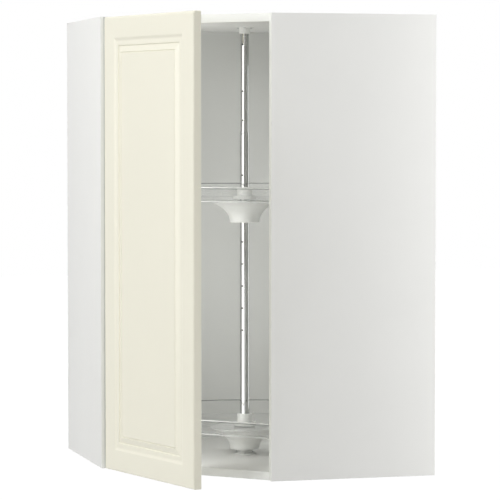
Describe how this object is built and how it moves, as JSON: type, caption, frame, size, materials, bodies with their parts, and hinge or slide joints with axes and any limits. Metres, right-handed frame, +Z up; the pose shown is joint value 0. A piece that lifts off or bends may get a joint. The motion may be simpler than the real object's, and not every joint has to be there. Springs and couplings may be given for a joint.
{
  "type": "corner carousel cabinet",
  "caption": "Corner wall cabinet with a diagonal framed door on concealed hinges and clear D-shaped trays that spin on a telescopic chrome post.",
  "frame": {"origin": "on the carousel's axis, at the underside of the bottom panel", "axes": "+Z up, +Y towards the rear wall, +X towards the side wall; the diagonal front faces -X -Y"},
  "size_m": [0.675, 0.7674, 1],
  "materials": {
    "white_board": "smooth white melamine film over particle board, edges banded",
    "back_white": "white lacquered hardboard",
    "door_foil": "cream foil, satin, over a pressed board",
    "white_plastic": "smooth moulded white plastic",
    "clear_plastic": "clear moulded plastic",
    "chrome": "polished chrome",
    "nickel": "nickel plated, satin",
    "steel": "zinc plated steel",
    "clear_rubber": "clear soft bumper"
  },
  "bodies": {
    "cabinet": {"side_panel_left": "white_board", "side_panel_right": "white_board", "bottom_panel": "white_board", "top_panel": "white_board", "back_board_rear": "back_white", "back_board_side": "back_white", "back_corner_post": "back_white", "hanging_bracket_left": "steel", "hanging_bracket_right": "steel", "bracket_cap_left": "white_plastic", "bracket_cap_right": "white_plastic", "hinge_arm_lower": "nickel", "hinge_arm_upper": "nickel", "hinge_plate_lower": "nickel", "hinge_plate_upper": "nickel", "hinge_plate_screw_1": "nickel", "hinge_plate_screw_2": "nickel", "hinge_plate_screw_3": "nickel", "hinge_plate_screw_4": "nickel", "hinge_arm_screw_1": "nickel", "hinge_arm_screw_2": "nickel", "post_outer_tube": "chrome", "post_inner_tube": "chrome", "post_lock_screw": "steel", "post_floor_fitting": "white_plastic", "post_top_fitting": "white_plastic", "floor_fitting_screw_1": "steel", "floor_fitting_screw_2": "steel", "floor_fitting_screw_3": "steel", "top_fitting_screw_1": "steel", "top_fitting_screw_2": "steel", "top_fitting_screw_3": "steel", "tray_bearing_lower": "white_plastic", "tray_bearing_upper": "white_plastic", "tray_support_pin": "steel"},
    "door": {"door_panel": "door_foil", "hinge_cup_lower": "nickel", "hinge_pin_lower": "steel", "hinge_cup_upper": "nickel", "hinge_pin_upper": "steel", "hinge_cup_screw_1": "nickel", "hinge_cup_screw_2": "nickel", "hinge_cup_screw_3": "nickel", "hinge_cup_screw_4": "nickel", "door_bumper_1": "clear_rubber", "door_bumper_2": "clear_rubber"},
    "lower_carousel": {"tray_lower": "clear_plastic", "hub_cone_lower": "white_plastic", "hub_collar_lower": "white_plastic", "hub_screw_lower_1": "steel", "hub_screw_lower_2": "steel", "hub_screw_lower_3": "steel"},
    "upper_carousel": {"tray_upper": "clear_plastic", "hub_cone_upper": "white_plastic", "hub_collar_upper": "white_plastic", "hub_screw_upper_1": "steel", "hub_screw_upper_2": "steel", "hub_screw_upper_3": "steel"}
  },
  "joints": [
    {"name": "door_hinge", "type": "hinge", "parent": "cabinet", "child": "door", "pos_m": [-0.31979, -0.06453, 0.5], "axis": [0, 0, -1], "range_deg": [-29.5, 65.5]},
    {"name": "lower_tray_spin", "type": "hinge", "parent": "cabinet", "child": "lower_carousel", "pos_m": [0, 0, 0.082], "axis": [0, 0, 1], "continuous": true},
    {"name": "upper_tray_spin", "type": "hinge", "parent": "cabinet", "child": "upper_carousel", "pos_m": [0, 0, 0.5945], "axis": [0, 0, 1], "continuous": true}
  ]
}
